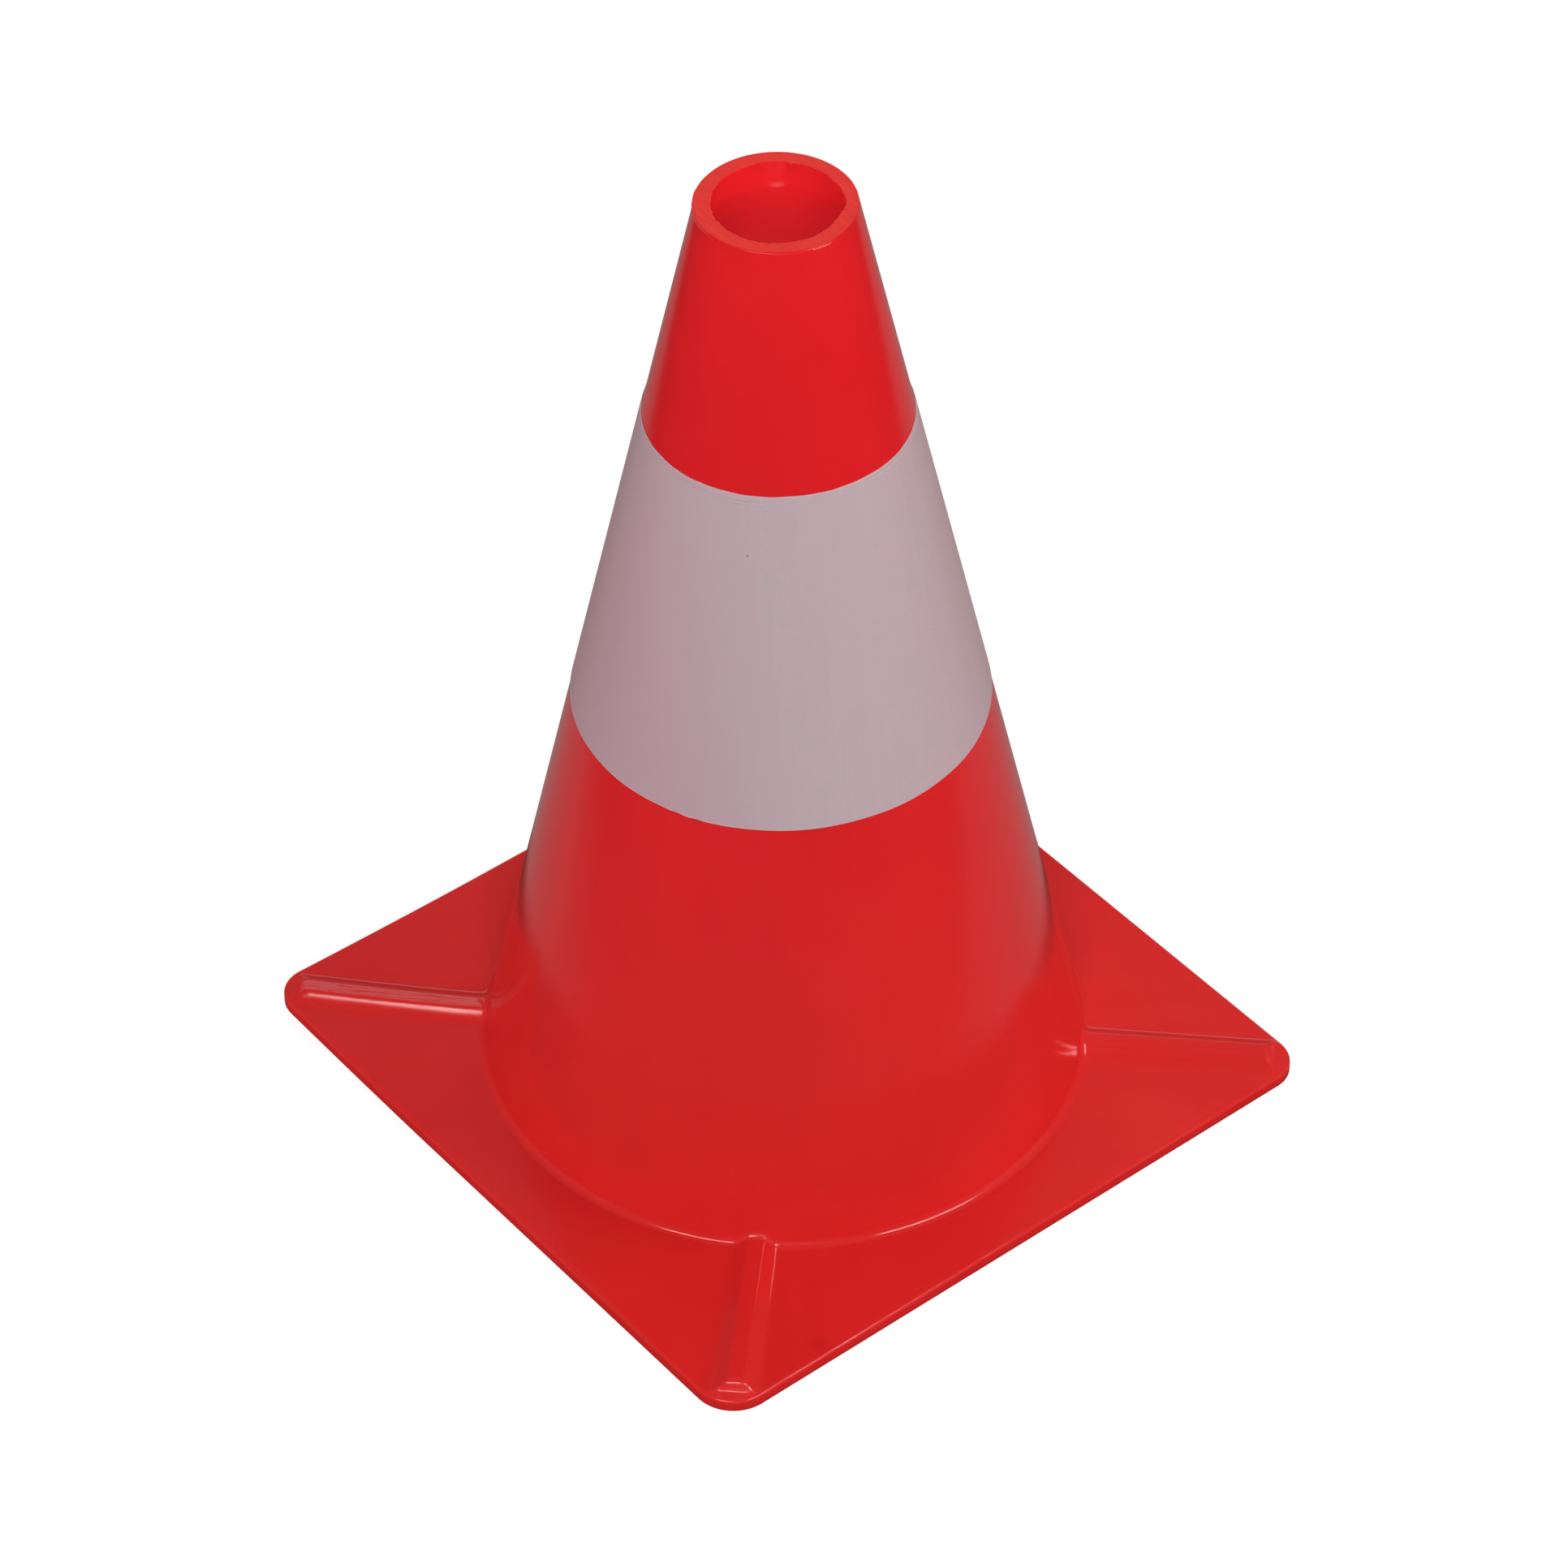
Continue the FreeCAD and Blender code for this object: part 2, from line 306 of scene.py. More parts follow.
def spoke_profile(spoke):
    """One column of the moulding: a closed loop of points, with the rim's cut face marked."""
    diagonal, foot_angle, end, normal = spoke
    rib = RIBS[diagonal]
    azimuth = turn_difference(diagonal + foot_angle, 0)
    turn = math.radians(foot_angle)
    points = []
    marks = []

    def add(along, across, z, mark=0):
        lift = corner_lift(max(along, 0.0), rib)
        x, y = to_plan(diagonal, along, across)
        points.append((x, y, z + lift))
        marks.append(mark)

    def add_round(radius, z, mark=0):
        x, y = to_plan(diagonal, radius * math.cos(turn), radius * math.sin(turn))
        points.append((x, y, z))
        marks.append(mark)

    def outer(inset):
        out = TOP_INSET - inset
        return end[0] + out * normal[0], end[1] + out * normal[1]

    # Underside, from the hollow outward, then the chamfer, the side and the round above it.
    inner_foot = FOOT_RADIUS - FOOT_WALL
    chamfer_along, chamfer_across = outer(EDGE_CHAMFER)
    for share in np.linspace(0, 1, 12):
        radius = inner_foot + HOLLOW_ROUND
        along = radius * math.cos(turn) * (1 - share) + chamfer_along * share
        across = radius * math.sin(turn) * (1 - share) + chamfer_across * share
        add(along, across, 0.0)
    for z in (EDGE_CHAMFER, 1.4, 2.3):
        add(*outer(0.0), z)
    for bend in np.linspace(0, math.pi / 2, 8):
        add(*outer(EDGE_ROUND * (1 - math.cos(bend))),
            PLATE_THICK - EDGE_ROUND * (1 - math.sin(bend)))

    # The plate's top, from its inset outline in to the foot of the wall.
    start_across = wall_radius(PLATE_THICK) * math.sin(turn)
    level = PLATE_THICK + float(rib_height(wall_radius(PLATE_THICK), start_across, rib))
    centre_z = level + FOOT_ROUND
    centre_radius = wall_radius(centre_z) + FOOT_ROUND / math.cos(WALL_LEAN)
    for share in 1 - PLATE_ROWS:
        along = centre_radius * math.cos(turn) * (1 - share) + end[0] * share
        across = centre_radius * math.sin(turn) * (1 - share) + end[1] * share
        x, y = to_plan(diagonal, along, across)
        settle = smooth_step(0.0, 0.03, share)
        z = level * (1 - settle) + settle * (PLATE_THICK + float(rib_height(along, across, rib)))
        add(along, across, z + dimple(x, y))

    # The round up into the wall, the wall, and the rim's knife-cut face.
    for bend in np.linspace(math.pi / 2, WALL_LEAN, FOOT_ROWS)[1:]:
        add_round(centre_radius - FOOT_ROUND * math.cos(bend),
                  centre_z - FOOT_ROUND * math.sin(bend))
    bottom = points[-1][2]
    bevel = cut_bevel(azimuth)
    lip = rim_lip(azimuth)
    for share in WALL_ROWS[1:]:
        z = bottom + (HEIGHT - bevel - bottom) * share
        turned = float(smooth_step(HEIGHT - LIP_DEPTH, HEIGHT - 0.2, z)) ** 2
        add_round(wall_radius(z) + lip * turned, z)
    edge = wall_radius(HEIGHT - bevel) + lip
    for bend in np.linspace(0, math.pi / 2, BEVEL_ROWS + 1)[1:-1]:
        add_round(edge - bevel * (1 - math.cos(bend)), HEIGHT - bevel * (1 - math.sin(bend)))
    hole = BORE_RADIUS + rim_wobble(azimuth)
    for share in np.linspace(0, 1, FACE_ROWS):
        radius = edge - bevel
        radius += (hole + HOLE_BREAK - radius) * share
        add_round(radius, HEIGHT - FACE_DISH * math.sin(math.pi * share), mark=1)

    # Down the hole, inside the wall, and round its lower edge.
    for depth in (0.15, 0.5, 0.9, 1.4, 2.0, 3.0, 4.5, 6.0, BORE_LENGTH - 0.6):
        fade = 1 - float(smooth_step(0.0, 3.5, depth))
        add_round(BORE_RADIUS + (hole - BORE_RADIUS) * fade, HEIGHT - depth)
    top = HEIGHT - BORE_LENGTH
    inner_slope = (inner_foot - BORE_RADIUS) / top
    for share in np.linspace(0.004, 1, 40):
        z = top * (1 - share) + HOLLOW_ROUND * share
        add_round(BORE_RADIUS + inner_slope * (top - z), z)
    return points, marks


def make_cone(pvc, cut_face):
    """The whole moulding: base plate with its ribs, hollow wall and cut rim, in one skin."""
    columns = [spoke_profile(spoke) for spoke in spokes()]
    rows = len(columns[0][0])
    points = np.array([column[0] for column in columns]).transpose(1, 0, 2).reshape(-1, 3)
    marks = np.array([column[1] for column in columns]).T
    faces = grid_faces(rows, len(columns), True, True)
    on_face = marks & np.roll(marks, -1, axis=0)
    cone = make_piece("cone_moulding", points, faces, [pvc, cut_face], on_face.reshape(-1))
    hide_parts("cone_body")


# ------------------------------------------------------------------------ the band's shape

SHEET_ROUND = 0.12
CREASE_DEPTH = 0.22


def edge_stray(azimuth, upper):
    """How far a hand-trimmed edge of the sheeting wanders along the wall."""
    a = np.radians(azimuth)
    if upper:
        return 0.10 * np.sin(3 * a + 0.7) + 0.05 * np.sin(11 * a) + 0.03 * np.sin(29 * a + 2)
    slips = 0.16 * bump(turn_difference(azimuth, 205), 0, 5) * np.sin(a * 61)
    return 0.08 * np.sin(4 * a + 1.9) + 0.05 * np.sin(13 * a + 1) + slips


def sheet_relief(along, azimuth):
    """Relief of the sheeting's face: the pressed margin under its upper edge, and a crease."""
    from_top = BAND_WIDTH - along
    right = smooth_step(-112, -80, azimuth) * (1 - smooth_step(-20, 10, azimuth))
    margin = -0.14 * right * bump(from_top, 1.25, 0.22)
    share = np.clip(turn_difference(azimuth, 168) / 62, 0, 1)
    line = 0.5 + 1.5 * np.sin(math.pi * share * 0.62)
    present = smooth_step(0.0, 0.06, share) * (1 - smooth_step(0.8, 1.0, share))
    crease = -CREASE_DEPTH * present * bump(from_top, line, 0.24)
    fold = 0.16 * present * bump(from_top, line + 0.45, 0.3)
    return margin + crease + fold


def make_band(sheeting):
    """The strip, wound once round and lapped over its own start at the seam."""
    turn = 360.0 + SEAM_ANGLE
    start = SEAM_AZIMUTH - SEAM_ANGLE / 2
    steps = graded([(0, 2, 0.25), (2, SEAM_ANGLE + 4, 0.8), (SEAM_ANGLE + 4, 90, 1.5),
                    (90, 230, 0.5), (230, 350, 1.2), (350, 371, 0.8), (371, turn, 0.25)])
    across = graded([(0, 2, 0.25), (2, 92, 5.0), (92, 96, 1.0), (96, BAND_WIDTH, 0.12)])
    back = np.linspace(BAND_WIDTH, 0, 24)
    points = []
    for step in steps:
        azimuth = start + step
        turned = turn_difference(azimuth, 0)
        climb = smooth_step(360 - 2.5, 360 - 0.3, step) * (SHEET_THICK + 0.02)
        lower = edge_stray(azimuth, False)
        upper = edge_stray(azimuth, True)
        section = []
        for along in across:
            to_edge = min(along, BAND_WIDTH - along)
            inset = SHEET_ROUND * (1 - math.sqrt(1 - (1 - min(to_edge / SHEET_ROUND, 1)) ** 2))
            relief = sheet_relief(along, turned) * float(smooth_step(0, 0.3, to_edge))
            section.append((along, GLUE_THICK + SHEET_THICK - inset + relief))
        section.extend((along, GLUE_THICK) for along in back)
        for along, out in section:
            stray = lower + (upper - lower) * along / BAND_WIDTH
            place = along + stray
            out = out + climb
            radius = (wall_radius(BAND_FLOOR) - place * math.sin(WALL_LEAN)
                      + out * math.cos(WALL_LEAN))
            z = BAND_FLOOR + place * math.cos(WALL_LEAN) + out * math.sin(WALL_LEAN)
            angle = math.radians(azimuth)
            points.append((radius * math.cos(angle), radius * math.sin(angle), z))
    loop = len(across) + len(back)
    faces = grid_faces(len(steps), loop, False, True)
    faces = [tuple(reversed(face)) for face in faces]
    faces.append(tuple(range(loop)))
    faces.append(tuple(reversed(range((len(steps) - 1) * loop, len(steps) * loop))))
    band = make_piece("band_strip", points, faces, [sheeting])
    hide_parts("reflective_band")


# ------------------------------------------------------------------- flash left at the rim


def make_flash(name, start, end, width, thick, drop, seed, pvc):
    """A thin ragged sliver of PVC that the trimming knife left along the rim's outer edge."""
    random = np.random.default_rng(seed)
    count = max(6, int(abs(end - start) / 0.8))
    ring = 8
    points = []
    for index, azimuth in enumerate(np.linspace(start, end, count)):
        share = index / (count - 1)
        taper = math.sin(math.pi * min(max(share, 0.03), 0.97)) ** 0.5
        half_width = width * taper * (0.2 + 0.8 * random.random()) / 2
        half_thick = thick * taper / 2
        middle = RIM_RADIUS - 0.10 + 0.14 * random.random()
        z = HEIGHT - 0.3 - drop * taper * (0.5 + 0.5 * random.random())
        for corner in range(ring):
            turn = 2 * math.pi * corner / ring
            radius = middle + wall_radius(z) - RIM_RADIUS + half_thick * math.cos(turn)
            angle = math.radians(azimuth)
            points.append((radius * math.cos(angle), radius * math.sin(angle),
                           z + half_width * math.sin(turn)))
    faces = grid_faces(count, ring, False, True)
    faces.append(tuple(reversed(range(ring))))
    faces.append(tuple(range((count - 1) * ring, count * ring)))
    flash = make_piece(name, points, faces, [pvc])


# -------------------------------------------------------------------------------- materials


class Nodes:
    """A material's or the world's node tree, with short calls for the nodes used here."""

    def __init__(self, owner, coordinates="Object"):
        self.owner = owner
        self.owner.use_nodes = True
        self.tree = self.owner.node_tree
        self.place = self.add("ShaderNodeTexCoord").outputs[coordinates]

    def add(self, kind, **settings):
        node = self.tree.nodes.new(kind)
        for key, value in settings.items():
            setattr(node, key, value)
        return node

    def feed(self, socket, value):
        if isinstance(value, bpy.types.NodeSocket):
            self.tree.links.new(value, socket)
        else:
            socket.default_value = value

    def math(self, operation, first, second=0.0, clamp=False):
        node = self.add("ShaderNodeMath", operation=operation, use_clamp=clamp)
        self.feed(node.inputs[0], first)
        self.feed(node.inputs[1], second)
        return node.outputs[0]

    def noise(self, scale, detail=3.0, rough=0.5, stretch=(1, 1, 1), place=None):
        """Noise of about one feature per 1/scale metres, stretched by per-axis factors."""
        mapping = self.add("ShaderNodeMapping")
        self.feed(mapping.inputs["Vector"], self.place if place is None else place)
        mapping.inputs["Scale"].default_value = stretch
        node = self.add("ShaderNodeTexNoise")
        self.feed(node.inputs["Vector"], mapping.outputs["Vector"])
        node.inputs["Scale"].default_value = scale
        node.inputs["Detail"].default_value = detail
        node.inputs["Roughness"].default_value = rough
        return node.outputs["Fac"]

    def spread(self, value, low, high, to_low, to_high):
        """Maps low..high to to_low..to_high, held at both ends."""
        node = self.add("ShaderNodeMapRange", interpolation_type="SMOOTHSTEP")
        self.feed(node.inputs["Value"], value)
        for name, number in (("From Min", low), ("From Max", high),
                             ("To Min", to_low), ("To Max", to_high)):
            self.feed(node.inputs[name], number)
        return node.outputs["Result"]

    def spot(self, middle, inner, outer, inside, outside=0.0, place=None):
        """A value that goes from inside to outside between two distances from a point."""
        away = self.add("ShaderNodeVectorMath", operation="DISTANCE")
        self.feed(away.inputs[0], self.place if place is None else place)
        away.inputs[1].default_value = middle
        return self.spread(away.outputs["Value"], inner, outer, inside, outside)

    def mix(self, share, first, second, kind="RGBA"):
        node = self.add("ShaderNodeMix", data_type=kind)
        self.feed(node.inputs["Factor"], share)
        self.feed(node.inputs["A"], first)
        self.feed(node.inputs["B"], second)
        return node.outputs["Result"]

    def height(self, value, distance, under=None):
        """A bump of that depth in metres, on top of another one."""
        node = self.add("ShaderNodeBump")
        node.inputs["Distance"].default_value = distance
        self.feed(node.inputs["Height"], value)
        if under is not None:
            self.feed(node.inputs["Normal"], under)
        return node.outputs["Normal"]

    def split(self, vector=None):
        node = self.add("ShaderNodeSeparateXYZ")
        self.feed(node.inputs[0], self.place if vector is None else vector)
        return node.outputs

    def around(self, radius):
        """Place on the wall as (arc length, 0, height) in metres, at a middling radius."""
        x, y, z = self.split()
        turn = self.math("ARCTAN2", y, x)
        join = self.add("ShaderNodeCombineXYZ")
        self.feed(join.inputs[0], self.math("MULTIPLY", turn, radius))
        self.feed(join.inputs[2], z)
        return join.outputs[0]


class Surface(Nodes):
    """A new material with one Principled shader."""

    def __init__(self, name):
        super().__init__(bpy.data.materials.new(name))
        self.shader = self.tree.nodes["Principled BSDF"]


def colour(red, green, blue):
    return (red, green, blue, 1.0)


PVC_IOR = 1.5
SHEETING_IOR = 1.45

# Middling radii in metres, which turn an azimuth into a length round the wall or the band.
WALL_MIDDLE = 0.05
BAND_MIDDLE = 0.046


def crown_sheen_and_wear(n):
    """How far the 135 degree rib's crown is painted pale, a painted reflection with fine rubbed
    lines along it, in patches; the same mask also makes the crown rougher.
    """
    turned = n.add("ShaderNodeMapping")
    n.feed(turned.inputs["Vector"], n.place)
    turned.inputs["Rotation"].default_value = (0, 0, math.radians(-45))
    along_rib = turned.outputs["Vector"]
    across, along, z = n.split(along_rib)
    rib = RIBS[135.0]
    lean = (rib["outer"] - rib["inner"]) / (RIB_RUN[1] - RIB_RUN[0])
    start = rib["inner"] - lean * RIB_RUN[0]
    middle = n.math("ADD", n.math("MULTIPLY", along, lean), start * MM)
    beside = n.math("ABSOLUTE", n.math("ADD", across, middle))
    inner_end = n.math("ADD", along, n.math("MULTIPLY", across, -0.7))
    on_crown = n.math("MULTIPLY", n.spread(inner_end, 0.0885, 0.0895, 0, 1),
                      n.spread(beside, 0.0017, 0.0023, 1, 0))
    on_crown = n.math("MULTIPLY", on_crown, n.spread(z, 0.0062, 0.0065, 0, 1))
    lines = n.noise(1500, 3, 0.7, (1, 0.035, 0.3), along_rib)
    patches = n.noise(260, 3, 0.6, (1, 0.4, 1), along_rib)
    sheen_and_scuff = n.math("MULTIPLY", on_crown, n.spread(lines, 0.38, 0.62, 1, 0.35))
    return n.math("MULTIPLY", sheen_and_scuff, n.spread(patches, 0.40, 0.55, 0.7, 1.0))


def make_pvc():
    """Glossy soft PVC, coloured through: a moulded skin with clouds, flow lines and dust, a
    little yellower near the floor, darker in the sink mark, and with a painted reflection and
    rubbed lines on one rib's crown."""
    n = Surface("soft_pvc")
    wall = n.around(WALL_MIDDLE)
    cloud = n.noise(22, 3, 0.55)
    flow = n.noise(160, 3, 0.6, (1, 1, 0.06), wall)
    grain = n.noise(1900, 2, 0.6)
    dust = n.noise(900, 4, 0.7)
    above_floor = n.split()[2]
    sheen_and_scuff = crown_sheen_and_wear(n)
    # A round patch that makes the plate darker in the sink mark.
    sink_darkening = n.spot((SINK_PLACE[0] * MM, SINK_PLACE[1] * MM, PLATE_THICK * MM),
                    0.0008, 0.0042, 0.5)
    upper = n.mix(n.spread(cloud, 0.35, 0.65, 0, 1),
                  colour(0.708, 0.0112, 0.0157), colour(0.726, 0.0126, 0.0168))
    lower = n.mix(n.spread(cloud, 0.35, 0.65, 0, 1),
                  colour(0.700, 0.0182, 0.0177), colour(0.718, 0.0200, 0.0188))
    tint = n.mix(n.spread(above_floor, 0.02, 0.20, 0, 1), lower, upper)
    tint = n.mix(n.spread(flow, 0.40, 0.66, 0, 0.14), tint, colour(0.65, 0.0130, 0.0150))
    # Painted reflection on one rib's crown, together with its rubbed lines.
    tint = n.mix(n.math("MULTIPLY", sheen_and_scuff, 0.62), tint, colour(0.80, 0.135, 0.140))
    tint = n.mix(n.spread(dust, 0.68, 0.80, 0, 0.03), tint, colour(0.80, 0.35, 0.33))
    # Darker colour in the sink mark.
    tint = n.mix(sink_darkening, tint, colour(0.60, 0.0150, 0.0150))
    n.feed(n.shader.inputs["Base Color"], tint)
    rough = n.spread(n.noise(60, 4, 0.6), 0.35, 0.7, 0.11, 0.16)
    rough = n.math("ADD", rough, n.math("MULTIPLY", sheen_and_scuff, 0.3))
    n.feed(n.shader.inputs["Roughness"], rough)
    n.shader.inputs["IOR"].default_value = PVC_IOR
    normal = n.height(cloud, 0.00007)
    normal = n.height(flow, 0.000005, normal)
    normal = n.height(grain, 0.000004, normal)
    n.feed(n.shader.inputs["Normal"], normal)
    return n.owner


def make_cut_face():
    """The rim where the knife went through: duller, lighter and finely dragged."""
    n = Surface("knife_cut_pvc")
    drag = n.noise(900, 4, 0.65, (1, 0.10, 1))
    patches = n.noise(160, 3, 0.6)
    tint = n.mix(n.spread(drag, 0.35, 0.7, 0, 1),
                 colour(0.83, 0.013, 0.008), colour(0.88, 0.026, 0.015))
    tint = n.mix(n.spread(patches, 0.45, 0.7, 0, 0.5), tint, colour(0.85, 0.020, 0.012))
    n.feed(n.shader.inputs["Base Color"], tint)
    n.feed(n.shader.inputs["Roughness"], n.spread(patches, 0.3, 0.7, 0.38, 0.52))
    n.shader.inputs["IOR"].default_value = PVC_IOR
    n.feed(n.shader.inputs["Normal"], n.height(drag, 0.00005))
    return n.owner


def make_torn_pvc():
    """PVC that the knife tore instead of cutting: stretched until it turned pale."""
    n = Surface("torn_pvc")
    fray = n.noise(1400, 4, 0.7)
    tint = n.mix(n.spread(fray, 0.35, 0.65, 0, 1),
                 colour(0.76, 0.090, 0.075), colour(0.86, 0.34, 0.28))
    n.feed(n.shader.inputs["Base Color"], tint)
    n.feed(n.shader.inputs["Roughness"], n.spread(fray, 0.3, 0.7, 0.45, 0.65))
    n.shader.inputs["IOR"].default_value = PVC_IOR
    n.feed(n.shader.inputs["Normal"], n.height(fray, 0.00004))
    return n.owner


# The side towards which the sheeting gets a painted shade, darker and pinker, as a plan
# direction, and where that shade starts and ends along it. Then the heights over which each cut
# edge gets a painted highlight, and the brown speck's azimuth and height. Lengths in metres.
SHADED_SIDE = (-0.966, 0.259)
SHADE_RUN = (0.014, 0.052)
UPPER_HIGHLIGHT = (0.2319, 0.2323)
LOWER_HIGHLIGHT = (0.1350, 0.1354)
SPECK_AZIMUTH = -140.8
SPECK_HEIGHT = 0.2152


def make_sheeting():
    """Retroreflective sheeting: a face of fine beads with a mottle and streaks, a painted shade
    darker and pinker towards one side, a painted highlight along its cut edges, and one brown
    speck."""
    n = Surface("bead_sheeting")
    wall = n.around(BAND_MIDDLE)
    beads = n.noise(2600, 2, 0.7)
    mottle = n.noise(120, 3, 0.55)
    broad = n.noise(30, 2, 0.5)
    streak = n.noise(420, 3, 0.6, (1, 1, 0.035), wall)
    x, y, z = n.split()
    # How far a point lies towards the side that gets the painted shade.
    aside = n.math("ADD", n.math("MULTIPLY", x, SHADED_SIDE[0]), n.math("MULTIPLY", y, SHADED_SIDE[1]))
    # Where the painted highlight lies along both cut edges of the sheeting.
    cut = n.math("MAXIMUM", n.spread(z, *UPPER_HIGHLIGHT, 0, 1), n.spread(z, *LOWER_HIGHLIGHT, 1, 0))
    speck = n.spot((math.radians(SPECK_AZIMUTH) * BAND_MIDDLE, 0, SPECK_HEIGHT),
                   0.00015, 0.0004, 0.75, place=wall)
    tint = n.mix(n.spread(mottle, 0.36, 0.66, 0, 1),
                 colour(0.530, 0.390, 0.420), colour(0.514, 0.393, 0.417))
    tint = n.mix(n.spread(broad, 0.35, 0.65, 0, 0.2), tint, colour(0.505, 0.370, 0.402))
    tint = n.mix(n.spread(streak, 0.42, 0.72, 0, 0.14), tint, colour(0.585, 0.455, 0.48))
    tint = n.mix(n.spread(beads, 0.35, 0.70, 0, 0.22), tint, colour(0.42, 0.305, 0.33))
    # Painted shade: darker and pinker towards one side.
    tint = n.mix(n.spread(aside, *SHADE_RUN, 0, 1), tint, colour(0.500, 0.315, 0.352))
    # Painted highlight along both cut edges.
    tint = n.mix(n.math("MULTIPLY", cut, 0.55), tint, colour(0.72, 0.42, 0.43))
    tint = n.mix(speck, tint, colour(0.13, 0.07, 0.05))
    n.feed(n.shader.inputs["Base Color"], tint)
    n.feed(n.shader.inputs["Roughness"], n.spread(beads, 0.3, 0.7, 0.42, 0.55))
    n.shader.inputs["IOR"].default_value = SHEETING_IOR
    normal = n.height(streak, 0.00001)
    normal = n.height(beads, 0.000012, normal)
    n.feed(n.shader.inputs["Normal"], normal)
    return n.owner


# ------------------------------------------------------------------------- camera and studio

# The camera's view direction in degrees, its distance and target in metres, its lens in mm.
CAMERA_AZIMUTH = -38.685
CAMERA_ELEVATION = 43.069
CAMERA_ROLL = -0.514
CAMERA_DISTANCE = 1.72554
CAMERA_TARGET = Vector((0.000456, -0.000365, 0.098203))
CAMERA_LENS = 143.90


def direction(azimuth, elevation):
    """From the part towards a view direction, with azimuth 0 for a camera in front, at -Y."""
    a = math.radians(azimuth)
    e = math.radians(elevation)
    return Vector((math.sin(a) * math.cos(e), -math.cos(a) * math.cos(e), math.sin(e)))


def make_camera():
    data = bpy.data.cameras.new("camera")
    data.lens = CAMERA_LENS
    data.sensor_width = 36.0
    data.clip_end = 100.0
    camera = bpy.data.objects.new("camera", data)
    bpy.context.scene.collection.objects.link(camera)
    back = direction(CAMERA_AZIMUTH, CAMERA_ELEVATION)
    right = direction(CAMERA_AZIMUTH + 90, 0)
    turn = Matrix((right, back.cross(right), back)).transposed()
    turn = turn @ Matrix.Rotation(math.radians(CAMERA_ROLL), 3, "Z")
    place = CAMERA_TARGET + back * CAMERA_DISTANCE
    camera.matrix_world = Matrix.Translation(place) @ turn.to_4x4()
    bpy.context.scene.camera = camera


LIGHT_TARGET = Vector((0, 0, 0.12))
RIM_CENTRE = Vector((0, 0, HEIGHT * MM))


def add_light(name, kind, power, place):
    """A light that the camera doesn't see, of a power in watts."""
    data = bpy.data.lights.new(name, kind)
    data.energy = power
    light = bpy.data.objects.new(name, data)
    bpy.context.scene.collection.objects.link(light)
    light.location = place
    light.visible_camera = False
    return light


def aim(light, back):
    """Turns a light to shine against the direction that it stands in."""
    light.rotation_mode = "QUATERNION"
    light.rotation_quaternion = (-back).to_track_quat("-Z", "Y")


def make_light(name, azimuth, elevation, distance, width, height, power, tint, glossy):
    """A flat soft light, aimed at the part. Its azimuth is measured from the camera's. A glossy
    one shows only in reflections, and any other only lights surfaces directly."""
    back = direction(CAMERA_AZIMUTH + azimuth, elevation)
    light = add_light(name, "AREA", power, LIGHT_TARGET + back * distance)
    light.data.shape = "RECTANGLE"
    light.data.size = width
    light.data.size_y = height
    light.data.color = tint
    aim(light, back)
    light.visible_glossy = glossy
    light.visible_diffuse = not glossy


def make_hole_light():
    """A narrow light just over the camera, on the rim and on what shows in its hole."""
    back = direction(CAMERA_AZIMUTH, CAMERA_ELEVATION + 2)
    light = add_light("hole_light", "SPOT", 20, RIM_CENTRE + back * 1.5)
    light.data.spot_size = math.radians(2.0)
    light.data.spot_blend = 0.5
    light.data.shadow_soft_size = 0.03
    aim(light, back)
    light.visible_glossy = False


def make_hollow_light():
    """A small blue-green light in the hollow, under the hole, which sets how bright and how red
    the inside looks through it."""
    place = direction(CAMERA_AZIMUTH, 0) * 0.010 + Vector((0, 0, 0.262))
    light = add_light("hollow_light", "POINT", 0.040, place)
    light.data.color = (0.3, 1.0, 1.0)
    light.data.shadow_soft_size = 0.004
    light.visible_glossy = False


FLOOR_HALF = 6.0
FLOOR_GAP = 0.0002
FLOOR_BOUNCE = 0.36
FLOOR_GLOW = 0.80
FLOOR_GREY = 0.35


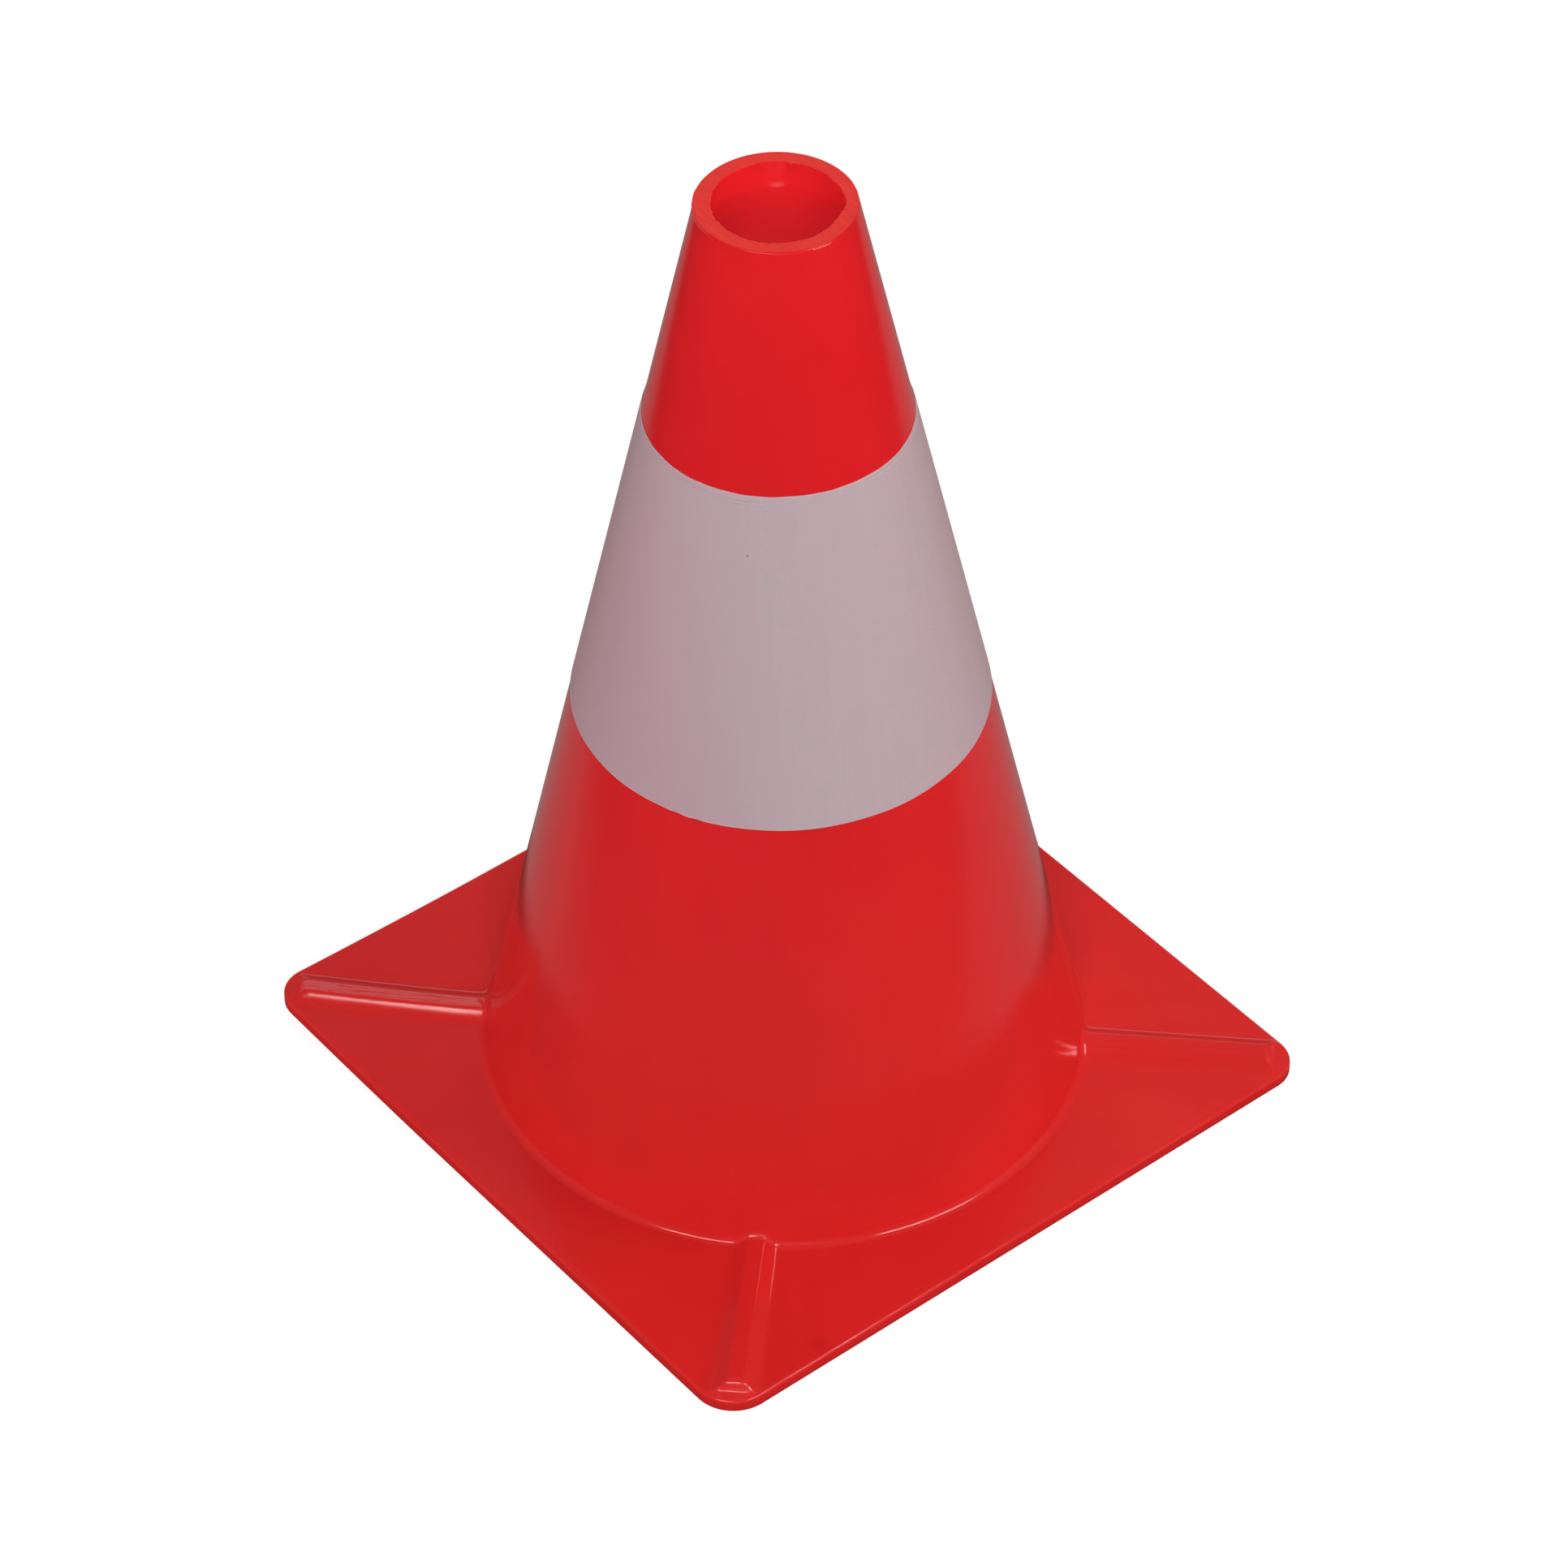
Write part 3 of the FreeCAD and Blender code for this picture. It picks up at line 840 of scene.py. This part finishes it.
def make_floor():
    """A plain pale floor, white to the camera apart from the part's soft shadow.

    Reflections show it dimmer: a pool of light behind the part and one in front of it, with a
    shade round the base. All other rays find it evenly bright.
    """
    mesh = bpy.data.meshes.new("floor")
    corners = [(x * FLOOR_HALF, y * FLOOR_HALF, 0) for x, y in ((-1, -1), (1, -1), (1, 1), (-1, 1))]
    mesh.from_pydata(corners, [], [(0, 1, 2, 3)])
    floor = bpy.data.objects.new("floor", mesh)
    floor.location.z = -FLOOR_GAP
    bpy.context.scene.collection.objects.link(floor)

    n = Nodes(bpy.data.materials.new("floor_pale"))
    mesh.materials.append(n.owner)
    n.tree.nodes.remove(n.tree.nodes["Principled BSDF"])
    front = direction(CAMERA_AZIMUTH, 0)
    right = direction(CAMERA_AZIMUTH + 90, 0)
    pool_behind = n.spot(right * 0.04 - front * 0.3, 0.34, 0.48, 0.22, 0.03)
    pool_in_front = n.spot(front * 0.25, 0.22, 0.55, 0.07, 0.02)
    base_shade = n.spot(front * 0.045 - right * 0.006, 0.148, 0.164, 0.12, 1.0)
    mirrored = n.math("MULTIPLY", n.math("MAXIMUM", pool_behind, pool_in_front), base_shade)
    ray = n.add("ShaderNodeLightPath").outputs
    unseen = n.add("ShaderNodeEmission")
    n.feed(unseen.inputs["Strength"],
           n.mix(ray["Is Glossy Ray"], FLOOR_BOUNCE, mirrored, kind="FLOAT"))
    glow = n.add("ShaderNodeEmission")
    n.feed(glow.inputs["Color"], colour(1, 1, 1))
    n.feed(glow.inputs["Strength"], FLOOR_GLOW)
    matt = n.add("ShaderNodeBsdfDiffuse")
    n.feed(matt.inputs["Color"], colour(FLOOR_GREY, FLOOR_GREY, FLOOR_GREY))
    seen = n.add("ShaderNodeAddShader")
    n.feed(seen.inputs[0], glow.outputs[0])
    n.feed(seen.inputs[1], matt.outputs[0])
    choose = n.add("ShaderNodeMixShader")
    n.feed(choose.inputs["Fac"], ray["Is Camera Ray"])
    n.feed(choose.inputs[1], unseen.outputs[0])
    n.feed(choose.inputs[2], seen.outputs[0])
    n.feed(n.tree.nodes["Material Output"].inputs["Surface"], choose.outputs[0])


ROOM_LEVEL = 0.10
ROOM_OVERHEAD = 0.14


def make_world():
    """White to the camera; a dim room for everything else, paler overhead in reflections."""
    n = Nodes(bpy.data.worlds.new("world"), "Generated")
    bpy.context.scene.world = n.owner
    overhead = n.spread(n.split()[2], 0.40, 0.62, ROOM_LEVEL, ROOM_OVERHEAD)
    ray = n.add("ShaderNodeLightPath").outputs
    level = colour(ROOM_LEVEL, ROOM_LEVEL, ROOM_LEVEL)
    room = n.mix(ray["Is Glossy Ray"], level, overhead)
    background = n.tree.nodes["Background"]
    n.feed(background.inputs["Strength"], 1.0)
    n.feed(background.inputs["Color"], n.mix(ray["Is Camera Ray"], room, colour(1, 1, 1)))


def make_studio():
    """Soft lights: a key by the camera, one from above, fills all round, two small ones for the
    hole, and strips that only reflections show."""
    make_world()
    make_floor()
    neutral = (1.0, 0.98, 0.97)
    cool = (0.90, 0.99, 1.0)
    warm = (1.0, 0.87, 0.85)
    make_light("key", -2, 31, 1.4, 0.5, 0.5, 12.1, cool, False)
    make_light("top", 125, 66, 1.6, 1.4, 1.4, 5.0, warm, False)
    make_light("fill_left", -82, 6, 1.8, 1.6, 1.2, 17.0, warm, False)
    make_light("fill_right", 84, 20, 1.8, 1.6, 1.2, 17.5, warm, False)
    make_light("fill_back", 180, 30, 2.0, 1.8, 1.8, 14, warm, False)
    make_hole_light()
    make_hollow_light()
    make_light("strip_left", -30, 51.5, 2.0, 0.95, 0.07, 7.5, neutral, True)
    make_light("strip_right", 58, 50, 2.0, 0.95, 0.07, 10, neutral, True)
    make_light("strip_low_back", 180, 18, 2.5, 2.6, 0.5, 3.0, neutral, True)


# --------------------------------------------------------------------------------- assembly

make_camera()
make_studio()
bpy.context.scene.view_settings.view_transform = "Standard"

torn_pvc = make_torn_pvc()
make_cone(make_pvc(), make_cut_face())
make_band(make_sheeting())
make_flash("flash_front", -105, -85, 0.50, 0.20, 0.34, 5, torn_pvc)
make_flash("flash_left", -172, -165, 0.45, 0.22, 0.50, 8, torn_pvc)
